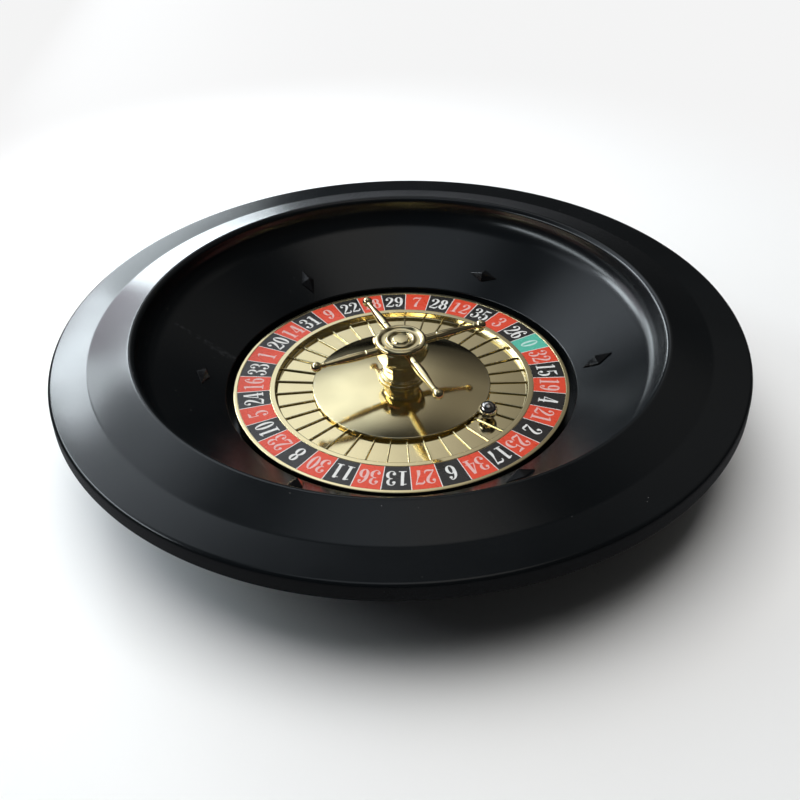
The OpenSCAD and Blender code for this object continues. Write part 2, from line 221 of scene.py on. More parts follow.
def loft(name, sections):
    """Closed solid through matching sections of 3-D points, capped at both ends."""
    bm = bmesh.new()
    loops = [[bm.verts.new(p) for p in section] for section in sections]
    count = len(loops[0])
    for a, b in zip(loops, loops[1:]):
        for k in range(count):
            bm.faces.new([a[k], a[(k + 1) % count], b[(k + 1) % count], b[k]])
    bm.faces.new(loops[0])
    bm.faces.new(loops[-1])
    return mesh_object(name, bm)


def join(obj, others):
    """Adds the meshes of others to an object without merging their solids."""
    bm = bmesh.new()
    for part in [obj] + others:
        bm.from_mesh(part.data)
    bm.to_mesh(obj.data)
    bm.free()
    for other in others:
        bpy.data.objects.remove(other)
    return obj


def combine(obj, others, operation="UNION"):
    """Boolean of an object with others, which are then deleted."""
    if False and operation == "UNION":
        return join(obj, others)
    group = bpy.data.collections.new("operands")
    for other in others:
        group.objects.link(other)
    modifier = obj.modifiers.new("combine", "BOOLEAN")
    modifier.operation = operation
    modifier.operand_type = "COLLECTION"
    modifier.collection = group
    modifier.solver = "EXACT"
    bpy.context.view_layer.update()
    result = obj.evaluated_get(bpy.context.evaluated_depsgraph_get())
    mesh = bpy.data.meshes.new_from_object(result)
    obj.modifiers.remove(modifier)
    obj.data = mesh
    for other in others:
        bpy.data.objects.remove(other)
    bpy.data.collections.remove(group)
    return obj


def soften(obj, width, segments=2, angle=30):
    """Bevels the sharp edges of a piece."""
    modifier = obj.modifiers.new("soften", "BEVEL")
    modifier.width = width
    modifier.segments = segments
    modifier.limit_method = "ANGLE"
    modifier.angle_limit = radians(angle)
    bpy.context.view_layer.update()
    result = obj.evaluated_get(bpy.context.evaluated_depsgraph_get())
    mesh = bpy.data.meshes.new_from_object(result)
    obj.modifiers.remove(modifier)
    obj.data = mesh
    return obj


def settle(obj, body, slot, materials, *nodes, sharp=35):
    """Gives a finished piece its material and its body, and hides the CAD nodes that it stands for."""
    obj.data.transform(Matrix.Scale(MM, 4))
    for material in materials if isinstance(materials, list) else [materials]:
        obj.data.materials.append(material)
    obj.data.polygons.foreach_set("use_smooth", [True] * len(obj.data.polygons))
    obj.data.set_sharp_from_angle(angle=radians(sharp))
    normals = obj.modifiers.new("normals", "WEIGHTED_NORMAL")
    normals.keep_sharp = True
    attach(obj, body)
    if nodes:
        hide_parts(*nodes)
    return obj


# ---------------------------------------------------------------- materials


class Look:
    """A node material while it is put together. Texture sizes are in mm."""

    def __init__(self, name, metallic=0.0):
        self.material = bpy.data.materials.new(name)
        self.material.use_nodes = True
        self.tree = self.material.node_tree
        self.shader = self.tree.nodes["Principled BSDF"]
        self.place = self.node("TexCoord").outputs["Object"]
        self.set(Metallic=metallic)

    def put(self, socket, value):
        """Links a socket to another node's output, or sets its value."""
        if isinstance(value, bpy.types.NodeSocket):
            self.tree.links.new(value, socket)
        elif isinstance(value, tuple) and len(value) == 3 and socket.type == "RGBA":
            socket.default_value = (*value, 1)
        else:
            socket.default_value = value

    def node(self, kind, inputs=None, **settings):
        """New shader node with its inputs and settings filled in."""
        made = self.tree.nodes.new("ShaderNode" + kind)
        for key, value in settings.items():
            setattr(made, key, value)
        for key, value in (inputs or {}).items():
            self.put(made.inputs[key], value)
        return made

    def set(self, **inputs):
        """Sets inputs of the main shader, whose names are written with underscores."""
        for key, value in inputs.items():
            self.put(self.shader.inputs[key.replace("_", " ")], value)

    def stretched(self, x, y, z):
        """Coordinates scaled unevenly, so that a texture draws out along one axis."""
        return self.node("Mapping", {"Vector": self.place, "Scale": (x, y, z)}).outputs["Vector"]

    def noise(self, size, detail=3.0, place=None, rough=0.5):
        """Cloudy noise from 0 to 1 with features of the given size."""
        inputs = {"Vector": place or self.place, "Scale": 1 / (size * MM), "Detail": detail,
                  "Roughness": rough}
        return self.node("TexNoise", inputs).outputs["Fac"]

    def cells(self, size):
        """Distance to the nearest of scattered points."""
        inputs = {"Vector": self.place, "Scale": 1 / (size * MM)}
        return self.node("TexVoronoi", inputs).outputs["Distance"]

    def span(self, value, low, high, out_low=0.0, out_high=1.0):
        """Smooth step from out_low to out_high as the value goes from low to high."""
        inputs = {"Value": value, "From Min": low, "From Max": high,
                  "To Min": out_low, "To Max": out_high}
        return self.node("MapRange", inputs, interpolation_type="SMOOTHSTEP").outputs["Result"]

    def maths(self, operation, a, b=0.0):
        """Result of a sum, product or other operation on one or two values."""
        return self.node("Math", {0: a, 1: b}, operation=operation).outputs["Value"]

    def blend(self, share, a, b):
        """Colour that goes from a to b as the share goes from 0 to 1."""
        made = self.node("Mix", data_type="RGBA")
        self.put(made.inputs["Factor"], share)
        self.put(made.inputs[6], a)
        self.put(made.inputs[7], b)
        return made.outputs[2]

    def edges(self, low, high):
        """Share of wear along convex edges."""
        point = self.node("NewGeometry").outputs["Pointiness"]
        return self.span(point, low, high)

    def bump(self, height, depth, below=None):
        """Bump of the given depth in mm, on top of another bump."""
        inputs = {"Height": height, "Distance": depth * MM, "Strength": 1.0}
        if below is not None:
            inputs["Normal"] = below
        return self.node("Bump", inputs).outputs["Normal"]


def bowl_plastic():
    """Satin black moulded plastic: faint flow marks, fine scuffs and a few dust specks."""
    look = Look("bowl_plastic")
    flow = look.noise(60, 2)
    scuff = look.noise(0.7, 4, look.stretched(1, 7, 1))
    dust = look.span(look.cells(9), 0.035, 0.02)
    chosen = look.span(look.noise(14, 1), 0.5, 0.6)
    speck = look.maths("MULTIPLY", dust, chosen)
    wear = look.maths("MULTIPLY", look.edges(0.53, 0.6), look.span(look.noise(3), 0.4, 0.7))
    tone = look.blend(flow, (0.0018, 0.0024, 0.003), (0.0034, 0.0045, 0.0056))
    tone = look.blend(look.maths("MULTIPLY", wear, 0.25), tone, (0.05, 0.053, 0.058))
    tone = look.blend(look.maths("MULTIPLY", speck, 0.7), tone, (0.16, 0.16, 0.155))
    satin = look.span(flow, 0.3, 0.7, 0.18, 0.23)
    rough = look.maths("ADD", satin, look.span(scuff, 0.45, 0.8, 0, 0.08))
    grain = look.bump(look.noise(0.35, 2), 0.0012)
    look.set(Base_Color=tone, Roughness=rough, Specular_IOR_Level=0.42,
             Normal=look.bump(look.noise(25, 1), 0.02, grain))
    return look.material


def deflector_gloss():
    """Glossy black plastic with handling smudges."""
    look = Look("deflector_gloss")
    smudge = look.noise(4, 4)
    look.set(Roughness=look.span(smudge, 0.35, 0.7, 0.12, 0.25),
             Base_Color=look.blend(smudge, (0.003, 0.003, 0.0035), (0.007, 0.007, 0.0075)),
             Specular_IOR_Level=0.35, Normal=look.bump(look.noise(1.2, 2), 0.002))
    return look.material


def foot_rubber():
    """Dull black rubber with a fine grain and patches of dust."""
    look = Look("foot_rubber")
    grain = look.noise(0.5, 4)
    dust = look.span(look.noise(5, 4), 0.45, 0.8, 0, 0.5)
    look.set(Base_Color=look.blend(dust, (0.014, 0.014, 0.015), (0.075, 0.07, 0.065)),
             Roughness=look.span(grain, 0.3, 0.7, 0.6, 0.85), Normal=look.bump(grain, 0.03))
    return look.material


def plated_gold(name, smooth, hazy, relief):
    """Champagne plating, from smooth to hazy: gentle ripple, patches of haze, worn edges."""
    look = Look(name, metallic=1.0)
    haze = look.noise(18, 3)
    fine = look.noise(1.5, 5, rough=0.6)
    wear = look.maths("MULTIPLY", look.edges(0.53, 0.62), look.span(look.noise(2), 0.4, 0.65))
    tone = look.blend(haze, (0.90, 0.77, 0.46), (0.84, 0.71, 0.41))
    tone = look.blend(look.maths("MULTIPLY", wear, 0.4), tone, (0.93, 0.84, 0.6))
    rough = look.span(haze, 0.35, 0.7, smooth, hazy)
    rough = look.maths("ADD", rough, look.span(fine, 0.5, 0.8, 0, 0.03))
    ripple = look.bump(look.noise(9, 1), 0.012 * relief)
    look.set(Base_Color=tone, Roughness=rough, Normal=look.bump(fine, 0.0006 * relief, ripple))
    return look.material


def printed(name, colour, shade):
    """Glossy printed film: the ink's density varies a little and the film is slightly uneven."""
    look = Look("printed_" + name)
    density = look.noise(1.2, 4, rough=0.7)
    rough = look.span(look.noise(6, 3), 0.3, 0.7, 0.24, 0.38)
    look.set(Base_Color=look.blend(look.span(density, 0.3, 0.75), colour, shade), Roughness=rough,
             Coat_Weight=0.25, Coat_Roughness=0.12, Normal=look.bump(look.noise(4, 2), 0.006))
    return look.material


def metal(name, colour, roughness, grain=0.25, line=None):
    """Plain or plated metal with machining lines and faint staining."""
    look = Look(name, metallic=1.0)
    stain = look.noise(5, 4)
    place = look.stretched(*line) if line else look.place
    lines = look.noise(grain, 3, place)
    stained = tuple(0.72 * channel for channel in colour)
    look.set(Base_Color=look.blend(look.span(stain, 0.4, 0.75), colour, stained),
             Roughness=look.span(lines, 0.3, 0.75, roughness * 0.75, roughness * 1.5),
             Normal=look.bump(lines, 0.0015))
    return look.material


GOLD = plated_gold("turned_gold", 0.1, 0.17, 0.3)
SATIN_GOLD = plated_gold("moulded_gold", 0.08, 0.12, 1)
BLACK = bowl_plastic()
GLOSS = deflector_gloss()
RUBBER = foot_rubber()
BALL = metal("ball_chrome", (0.54, 0.51, 0.49), 0.07, 0.6)
RED_INK = printed("red", (0.63, 0.058, 0.022), (0.54, 0.044, 0.019))
BLACK_INK = printed("black", (0.010, 0.0085, 0.008), (0.017, 0.015, 0.014))
TEAL_INK = printed("teal", (0.085, 0.43, 0.32), (0.07, 0.37, 0.28))
WHITE_INK = printed("white", (0.69, 0.68, 0.66), (0.61, 0.61, 0.6))
PINK_INK = printed("pale_on_red", (0.66, 0.41, 0.39), (0.61, 0.35, 0.33))
MINT_INK = printed("pale_on_teal", (0.46, 0.66, 0.61), (0.40, 0.61, 0.56))

NODE_LOOKS = {
    "plated_steel": metal("plated_steel", (0.55, 0.55, 0.56), 0.3, 0.3, (1, 1, 6)),
    "spring_steel": metal("spring_steel", (0.12, 0.12, 0.13), 0.42, 0.4),
    "bearing_steel": metal("bearing_steel", (0.62, 0.62, 0.63), 0.14, 0.2, (1, 1, 8)),
    "bearing_shield": metal("bearing_shield", (0.48, 0.49, 0.5), 0.34, 0.5),
    "cage_brass": metal("cage_brass", (0.70, 0.50, 0.22), 0.32, 0.4),
}


# ---------------------------------------------------------------- bowl


def bowl_outline():
    """Section of the moulding, from the opening's edge outward and back underneath."""
    lip = (wall_r + lip_round, lip_z - lip_round)
    band_r = lip[0] + lip_round * sin(inner_fall)
    band_z = lip[1] + lip_round * cos(inner_fall)
    crease_z = band_z - (crease_r - band_r) * tan(inner_fall)
    rim_c_r = rim_r - rim_round
    rim_c_z = (crease_z - (rim_c_r + rim_round * sin(outer_fall) - crease_r) * tan(outer_fall)
               - rim_round * cos(outer_fall))
    track_r = wall_r - track_fillet
    track_z = slope_z(track_r + track_fillet * sin(slope_a)) + track_fillet * cos(slope_a)
    slope_deg, inner_deg, outer_deg = degrees(slope_a), degrees(inner_fall), degrees(outer_fall)
    t = shell_t
    edge_round, crease_soft, skirt_round = 1.2, 0.9, 0.5
    edge_r = hole_r + edge_round
    edge = (edge_r, slope_z(edge_r) - edge_round / cos(slope_a))
    points = arc(edge, edge_round, 180, 90 + slope_deg, 6)
    points += arc((track_r, track_z), track_fillet, slope_deg - 90, 0, 20)
    points += arc(lip, lip_round, 180, 90 - inner_deg, 14)
    points += [(crease_r - crease_soft, crease_z + crease_soft * tan(inner_fall)),
               (crease_r, crease_z - 0.04),
               (crease_r + crease_soft, crease_z - crease_soft * tan(outer_fall))]
    points += arc((rim_c_r, rim_c_z), rim_round, 90 - outer_deg, 0, 10)
    under_rim = crease_z - (rim_r - t - crease_r) * tan(outer_fall) - t / cos(outer_fall)
    under_crease = crease_z - t / cos((inner_fall + outer_fall) / 2)
    under_lip = crease_z + (crease_r - wall_r - t) * tan(inner_fall) - t / cos(inner_fall)
    points += arc((rim_r - skirt_round, skirt_z + skirt_round), skirt_round, 0, -90, 4)
    points += [(rim_r - t, skirt_z), (rim_r - t, under_rim), (crease_r, under_crease),
               (wall_r + t, under_lip)]
    points += arc((track_r, track_z), track_fillet + t, 0, slope_deg - 90, 12)
    under_slope = slope_z(hole_r + t) - t / cos(slope_a)
    recess_r, recess_z, thread_hole = 9.5, 9.6, 3.1
    points += rounded([(hole_r + t, under_slope), (hole_r + t, base_ring_z), (hole_r, base_ring_z),
                       (hole_r, foot_h), (recess_r, foot_h), (recess_r, recess_z)], 0.4, 3)
    points += [(thread_hole, recess_z), (thread_hole, boss_z), (boss_r - 0.5, boss_z),
               (boss_r, boss_z - 0.5), (boss_r, floor_z), (hole_r, floor_z)]
    return points


def gusset(angle):
    """Upright rib that stiffens the underside of the slope."""
    half, tip_h = 1.2, 5
    inside, outside = hole_r + shell_t - 1, wall_r - track_fillet + 6
    outline = [(inside, floor_z), (inside, slope_z(inside) - shell_t),
               (outside, slope_z(outside) - shell_t), (outside, slope_z(outside) - shell_t - tip_h)]
    rib = loft("gusset", [[(r, side, z) for r, z in outline] for side in (-half, half)])
    rib.data.transform(Matrix.Rotation(radians(angle), 4, "Z"))
    return rib


def build_bowl():
    """Bowl moulding with its ring of gussets."""
    bowl = lathe("bowl_moulding", bowl_outline(), 360)
    ribs = [gusset((i + 0.5) * 360 / gussets) for i in range(gussets)]
    combine(bowl, ribs)
    settle(bowl, "bowl_base", "bowl_plastic", BLACK, "bowl")


def build_deflectors():
    """Elongated diamonds with four facets: odd ones point along the slope, even ones across."""
    half_l, half_w, side, sunk = deflector_l / 2, deflector_w / 2, 0.7, 0.3
    rim = [(half_l, 0), (0, half_w), (-half_l, 0), (0, -half_w)]
    for n in range(1, deflectors + 1):
        bm = bmesh.new()
        low = [bm.verts.new((x, y, -sunk)) for x, y in rim]
        high = [bm.verts.new((x, y, side)) for x, y in rim]
        peak = bm.verts.new((0, 0, deflector_h))
        bm.faces.new(low)
        for k in range(4):
            after = (k + 1) % 4
            bm.faces.new([low[k], low[after], high[after], high[k]])
            bm.faces.new([high[k], high[after], peak])
        piece = soften(mesh_object(f"deflector_{n}_diamond", bm), 0.28, 3, 12)
        turn = Matrix.Rotation(radians(0 if n % 2 else 90), 4, "Z")
        tilt = Matrix.Rotation(-slope_a, 4, "Y")
        place = Matrix.Translation((deflector_r, 0, slope_z(deflector_r)))
        around = Matrix.Rotation(radians(deflector_a - deflector_step * (n - 1)), 4, "Z")
        piece.data.transform(around @ place @ tilt @ turn)
        settle(piece, "bowl_base", "deflector_gloss", GLOSS, f"deflector_{n}", sharp=60)


def build_feet():
    """Push-in rubber feet with a shallow dished sole."""
    for n in range(1, feet + 1):
        low, high = corners(f"foot_{n}")
        centre = (low + high) / 2
        sole = [(0, 0.5), (6.5, 0.5, 0.2), (7.1, 0, 0.2), (9.1, 0, 0.5), (10, 0.9, 0.5), (10, foot_h),
                (3, foot_h), (3, floor_z), (2.4, high.z, 0.3), (0, high.z)]
        foot = lathe(f"foot_{n}_pad", rounded(sole, 0.15, 3), 96)
        foot.data.transform(Matrix.Translation((centre.x, centre.y, 0)))
        settle(foot, "bowl_base", "foot_rubber", RUBBER, f"foot_{n}")


# ---------------------------------------------------------------- wheel head


def pocket_wheel_outline():
    """Section of the wheel head's moulding: borders, land, pockets, hub and bearing seat."""
    under = pocket_z - head_t
    under_land = land_z - head_t
    step_in = pocket_in - 1.5
    skin_r = head_r - head_t
    drop_r = pocket_out + 1.6
    bore = 11.02
    lip_in = 9.4
    return rounded([
        (head_r, head_skirt_z, 0.3), (head_r, border_z, 0.7), (ring_out + 0.1, border_z, 0.35),
        (ring_out, land_z, 0), (ring_in, land_z, 0), (ring_in - 0.1, border_z, 0.35),
        (pocket_out, border_z, 0.7), (pocket_out - 0.3, pocket_z, 1.0), (pocket_in, pocket_z, 0.3),
        (pocket_in, cone_seat, 0.1), (step_in, cone_seat, 0.1), (step_in, pocket_z, 0.2),
        (hub_r, pocket_z, 0.3), (hub_r, hub_top, 0.4), (lip_in, hub_top, 0.2),
        (lip_in, bearing_high.z, 0), (bore, bearing_high.z, 0), (bore, bearing_low.z, 0.2),
        (hub_r, bearing_low.z, 0.4), (hub_r, under, 0.3), (drop_r, under, 0.4),
        (drop_r, under_land, 0.3), (skin_r, under_land, 0.3), (skin_r, head_skirt_z, 0.3)], 0.3, 5)


def fret(angle):
    """Low wall between two pockets, with a rounded top."""
    half, draft, buried = fret_t / 2, 0.12, 0.5
    top = [(half * sin(radians(a)), half * (1 - cos(radians(a)))) for a in range(-90, 91, 20)]
    outline = [(-half - draft, pocket_z - buried)]
    outline += [(t, pocket_z + fret_h - drop - 0.01) for t, drop in top]
    outline += [(half + draft, pocket_z - buried)]
    wall = loft("fret", [[(r, t, z) for t, z in outline] for r in (pocket_in - 1, pocket_out + 0.5)])
    wall.data.transform(Matrix.Rotation(radians(angle), 4, "Z"))
    return wall


def head_rib(angle):
    """Spoke under the wheel head, from the hub to the pockets' rim."""
    half, depth, buried = 1, 3, 0.5
    under = pocket_z - head_t
    low, high = under - depth, under + buried
    end = [(-half, low), (half, low), (half, high), (-half, high)]
    rib = loft("rib", [[(r, y, z) for y, z in end] for r in (hub_r - 1, pocket_out - 1)])
    rib.data.transform(Matrix.Rotation(radians(angle), 4, "Z"))
    return rib


def build_pocket_wheel():
    """Plated wheel head with one fret between each two pockets."""
    wheel = lathe("pocket_wheel_plated", pocket_wheel_outline(), 370)
    frets = [fret(zero_a + (i + 0.5) * pocket_step) for i in range(pockets)]
    rib_step = 360 / head_ribs
    ribs = [head_rib(arm_a + (i + 0.5) * rib_step) for i in range(head_ribs)]
    combine(wheel, frets + ribs)
    settle(wheel, "wheel_head", "gold_plating", SATIN_GOLD, "pocket_wheel")


def ink_of(number):
    """Index of a sector's ink in the label's list of materials."""
    if number == 0:
        return 3
    return 1 if number in RED else 2


def build_number_ring():
    """Printed ring: 37 coloured sectors with a thin white line between each two."""
    line_half, gap, steps = 0.24, 0.1, 5
    inner, outer = ring_in + gap, ring_out - gap
    line = degrees(line_half / ((inner + outer) / 2))
    width = pocket_step - 2 * line
    stations = []
    for index, number in enumerate(ORDER):
        start = zero_a - (index - 0.5) * pocket_step
        stations.append((start + line, 0))
        stations += [(start - line - width * k / steps, ink_of(number)) for k in range(steps)]
    bm = bmesh.new()
    rings = []
    for r, z in ((inner, land_z), (inner, ring_z), (outer, ring_z), (outer, land_z)):
        turns = [radians(station[0]) for station in stations]
        rings.append([bm.verts.new((r * cos(a), r * sin(a), z)) for a in turns])
    for side, (low, high) in enumerate(zip(rings, rings[1:] + rings[:1])):
        for k, (_, ink) in enumerate(stations):
            after = (k + 1) % len(stations)
            face = bm.faces.new([low[k], low[after], high[after], high[k]])
            face.material_index = ink if side == 1 else 0
    label = mesh_object("number_ring_label", bm)
    inks = [WHITE_INK, RED_INK, BLACK_INK, TEAL_INK]
    settle(label, "wheel_head", "printed_label", inks, "number_ring")


# ---------------------------------------------------------------- numerals

GLYPH_H = 11.8
GLYPH_W = 5.5
THICK = 1.75
THIN = 0.6
INK_RAISE = 0.03
INK_DEPTH = 0.05


def plate(name, outline):
    """Thin flat solid from a closed outline of (x, y) points."""
    return loft(name, [[(x, y, z) for x, y in outline] for z in (-INK_DEPTH, INK_RAISE)])


def bar(x0, y0, x1, y1):
    """Upright or level bar between two corners."""
    return [plate("bar", [(x0, y0), (x1, y0), (x1, y1), (x0, y1)])]


def dot(x, y, r):
    """Round terminal of a numeral."""
    return [plate("dot", arc((x, y), r, 0, 345, 23))]


def oval_ring(cx, cy, rx, ry):
    """Oval with thick sides and thin top and bottom."""
    steps = 40
    bm = bmesh.new()
    loops = []
    for a, b, z in ((rx, ry, -INK_DEPTH), (rx, ry, INK_RAISE), (rx - THICK, ry - THIN, INK_RAISE),
                    (rx - THICK, ry - THIN, -INK_DEPTH)):
        turns = [2 * pi * k / steps for k in range(steps)]
        loops.append([bm.verts.new((cx + a * cos(t), cy + b * sin(t), z)) for t in turns])
    for low, high in zip(loops, loops[1:] + loops[:1]):
        for k in range(steps):
            bm.faces.new([low[k], low[(k + 1) % steps], high[(k + 1) % steps], high[k]])
    return [mesh_object("oval", bm)]


def stroke(points, detail=8):
    """Brush stroke through (x, y, width) points, on a smooth curve."""
    knots = [Vector(points[0])] + [Vector(p) for p in points] + [Vector(points[-1])]
    path = []
    for i in range(1, len(knots) - 2):
        a, b, c, d = knots[i - 1:i + 3]
        for k in range(detail):
            t = k / detail
            path.append(0.5 * (2 * b + (c - a) * t + (2 * a - 5 * b + 4 * c - d) * t ** 2
                               + (3 * b - a - 3 * c + d) * t ** 3))
    path.append(knots[-1])
    left, right = [], []
    for i, here in enumerate(path):
        along = path[min(i + 1, len(path) - 1)] - path[max(i - 1, 0)]
        side = Vector((-along.y, along.x)).normalized() * here.z / 2
        left.append((here.x + side.x, here.y + side.y))
        right.append((here.x - side.x, here.y - side.y))
    return [plate("stroke", left + right[::-1])]


def glyph_parts(digit):
    """Overlapping parts of a high-contrast serif numeral, in a box GLYPH_W by GLYPH_H."""
    w, h, t, n = GLYPH_W, GLYPH_H, THICK, THIN
    if digit == 0:
        return oval_ring(w / 2, h / 2, w / 2, h / 2)
    if digit == 1:
        return (bar(w / 2 - t / 2, 0.1, w / 2 + t / 2, h) + bar(0.12 * w, 0, 0.88 * w, n)
                + stroke([(w / 2, h - 0.3, 0.6), (0.32 * w, 0.93 * h, n), (0.1 * w, 0.89 * h, n)]))
    if digit == 2:
        return (dot(0.2 * w, 0.76 * h, 0.95)
                + stroke([(0.1 * w, 0.78 * h, n), (0.2 * w, 0.92 * h, n), (0.48 * w, 0.98 * h, n),
                          (0.8 * w, 0.86 * h, 0.85 * t), (0.8 * w, 0.68 * h, t),
                          (0.56 * w, 0.45 * h, 0.8 * t), (0.2 * w, 0.2 * h, n), (0.06 * w, 0.06 * h, n)])
                + stroke([(0.04 * w, 0.05 * h, n), (0.3 * w, 0.085 * h, 1.25), (0.7 * w, 0.06 * h, 1.4),
                          (0.93 * w, 0.13 * h, 0.8), (0.97 * w, 0.26 * h, n)]))
    if digit == 3:
        return (dot(0.2 * w, 0.79 * h, 0.95) + dot(0.19 * w, 0.2 * h, 1.0)
                + stroke([(0.1 * w, 0.81 * h, n), (0.22 * w, 0.94 * h, n), (0.5 * w, 0.98 * h, n),
                          (0.77 * w, 0.87 * h, 0.8 * t), (0.78 * w, 0.69 * h, 0.9 * t),
                          (0.62 * w, 0.56 * h, n), (0.36 * w, 0.53 * h, n)])
                + stroke([(0.36 * w, 0.53 * h, n), (0.64 * w, 0.5 * h, n), (0.83 * w, 0.37 * h, 0.95 * t),
                          (0.82 * w, 0.17 * h, 0.9 * t), (0.55 * w, 0.022 * h, n), (0.24 * w, 0.05 * h, n),
                          (0.08 * w, 0.18 * h, n)]))
    if digit == 4:
        return (bar(0.52 * w, 0.1, 0.52 * w + t, h) + bar(0.32 * w, 0, 1.0 * w, n)
                + bar(0, 0.26 * h, w, 0.26 * h + 0.65)
                + stroke([(0.6 * w, 0.985 * h, 0.6), (0.06 * w, 0.28 * h, 0.6)]))
    if digit == 5:
        return (dot(0.2 * w, 0.2 * h, 1.0)
                + bar(0.14 * w, 0.5 * h, 0.14 * w + n, 0.99 * h)
                + stroke([(0.14 * w, 0.935 * h, 1.5), (0.5 * w, 0.93 * h, 1.5), (0.9 * w, 0.975 * h, n)])
                + stroke([(0.17 * w, 0.5 * h, n), (0.45 * w, 0.6 * h, n), (0.8 * w, 0.48 * h, 0.9 * t),
                          (0.84 * w, 0.22 * h, t), (0.55 * w, 0.022 * h, n), (0.24 * w, 0.05 * h, n),
                          (0.08 * w, 0.18 * h, n)]))
    if digit == 6:
        return (oval_ring(w / 2, 0.3 * h, w / 2, 0.3 * h) + dot(0.79 * w, 0.82 * h, 0.9)
                + stroke([(0.5 * t, 0.3 * h, t), (0.17 * w, 0.52 * h, t), (0.27 * w, 0.76 * h, 0.85 * t),
                          (0.48 * w, 0.93 * h, 0.5 * t), (0.7 * w, 0.98 * h, n), (0.88 * w, 0.9 * h, n)]))
    if digit == 7:
        return (stroke([(0.06 * w, 0.76 * h, n), (0.1 * w, 0.88 * h, 0.9), (0.35 * w, 0.945 * h, 1.4),
                        (0.7 * w, 0.92 * h, 1.3), (0.96 * w, 0.985 * h, n)])
                + stroke([(0.94 * w, 0.97 * h, n), (0.66 * w, 0.58 * h, 0.7),
                          (0.46 * w, 0.28 * h, 0.95 * t), (0.42 * w, 0.0, 1.1 * t)]))
    if digit == 8:
        return (oval_ring(w / 2, 0.755 * h, 0.44 * w, 0.245 * h)
                + oval_ring(w / 2, 0.275 * h, w / 2, 0.275 * h))
    upside_down = glyph_parts(6)
    for part in upside_down:
        part.data.transform(Matrix.Translation((w, h, 0)) @ Matrix.Rotation(pi, 4, "Z"))
    return upside_down


def glyph(digit):
    """One clean solid per numeral."""
    first, *rest = glyph_parts(digit)
    return combine(first, rest) if rest else first


def build_numerals():
    """Numerals of the printed ring, upright toward the outside, one per sector."""
    glyphs = [glyph(digit) for digit in range(10)]
    middle_r = (ring_in + ring_out) / 2
    advance = GLYPH_W + 0.75
    groups = {1: ("numerals_on_red", PINK_INK), 2: ("numerals_on_black", WHITE_INK),
              3: ("numeral_zero", MINT_INK)}
    for ink, (name, material) in groups.items():
        bm = bmesh.new()
        for index, number in enumerate(ORDER):
            if ink_of(number) != ink:
                continue
            text = str(number)
            turn = Matrix.Rotation(radians(zero_a - index * pocket_step - 90), 4, "Z")
            for place, letter in enumerate(text):
                x = (place - (len(text) - 1) / 2) * advance - GLYPH_W / 2
                shift = Matrix.Translation((x, middle_r - GLYPH_H / 2, ring_z))
                mesh = glyphs[int(letter)].data.copy()
                mesh.transform(turn @ shift)
                bm.from_mesh(mesh)
        numerals = mesh_object(name, bm)
        settle(numerals, "wheel_head", "printed_label", material)
    for shape in glyphs:
        bpy.data.objects.remove(shape)


def build_cone():
    """Shallow mirror dome with a turned-down edge and a post for each screw."""
    steps, under_steps, edge_round = 40, 16, 0.6
    radii = [land_r + (cone_r - 0.4 - land_r) * i / steps for i in range(steps + 1)]
    under_radii = [cone_lip + (land_r - cone_lip) * i / under_steps for i in range(under_steps + 1)]
    outline = [(r, dome_z(r)) for r in radii]
    outline += arc((cone_r - edge_round, cone_edge - 0.5), edge_round, 75, 0, 5)
    outline += [(cone_r, cone_seat + 0.2), (cone_r - 0.2, cone_seat), (cone_lip, cone_seat)]
    outline += [(r, dome_z(r) - cone_t) for r in under_radii]
    outline += [(land_r, cone_plate_z), (bolt_hole, cone_plate_z), (bolt_hole, seat_z)]
    cone = lathe("cone_dome", outline, 320)
    post_r, post_top = 3.5, dome_z(screw_r) - 1.1
    screw_step = 360 / cone_screws
    posts = []
    for i in range(cone_screws):
        a = radians(arm_a + (i + 0.5) * screw_step)
        post = lathe("post", [(0, pocket_z), (post_r, pocket_z), (post_r, post_top), (0, post_top)], 32)
        post.data.transform(Matrix.Translation((screw_r * cos(a), screw_r * sin(a), 0)))
        posts.append(post)
    combine(cone, posts)
    settle(cone, "wheel_head", "gold_plating", SATIN_GOLD, "cone")


# ---------------------------------------------------------------- turret


def build_turned(name, node, base, outline):
    """Turned part that starts at height base."""
    part = lathe(name, [(r, z + base) for r, z in outline], 128)
    settle(part, "wheel_head", "gold_plating", GOLD, node)


def along_arm(n):
    """Matrix that lays +Z along arm n."""
    turn = Matrix.Rotation(radians(arm_a + arm_step * (n - 1)), 4, "Z")
    return turn @ Matrix.Translation((0, 0, arm_z)) @ Matrix.Rotation(pi / 2, 4, "Y")


def build_base_and_stem():
    """Flange with two beads, and the plain barrel that stands on it."""
    base_h = stem_z - seat_z
    flange = [(bolt_hole, 0), (13.3, 0)] + arc((13.3, 0.8), 0.8, -85, 90, 12)
    flange += [(12.5, 1.62), (12.2, 1.7), (12.1, 1.8)] + arc((12, 2.4), 0.6, -80, 90, 10)
    flange += [(11.7, 3.02), (11.4, 3.15), (11.25, 3.3), (11.2, base_h), (bolt_hole, base_h)]
    build_turned("turret_base_flange", "turret_base", seat_z, flange)

    stem_h = stem_top - stem_z
    barrel = rounded([(bolt_hole, 0), (10.9, 0, 0.1), (10.8, stem_h, 0.1), (bolt_hole, stem_h)], 0, 3)
    build_turned("turret_stem_barrel", "turret_stem", stem_z, barrel)


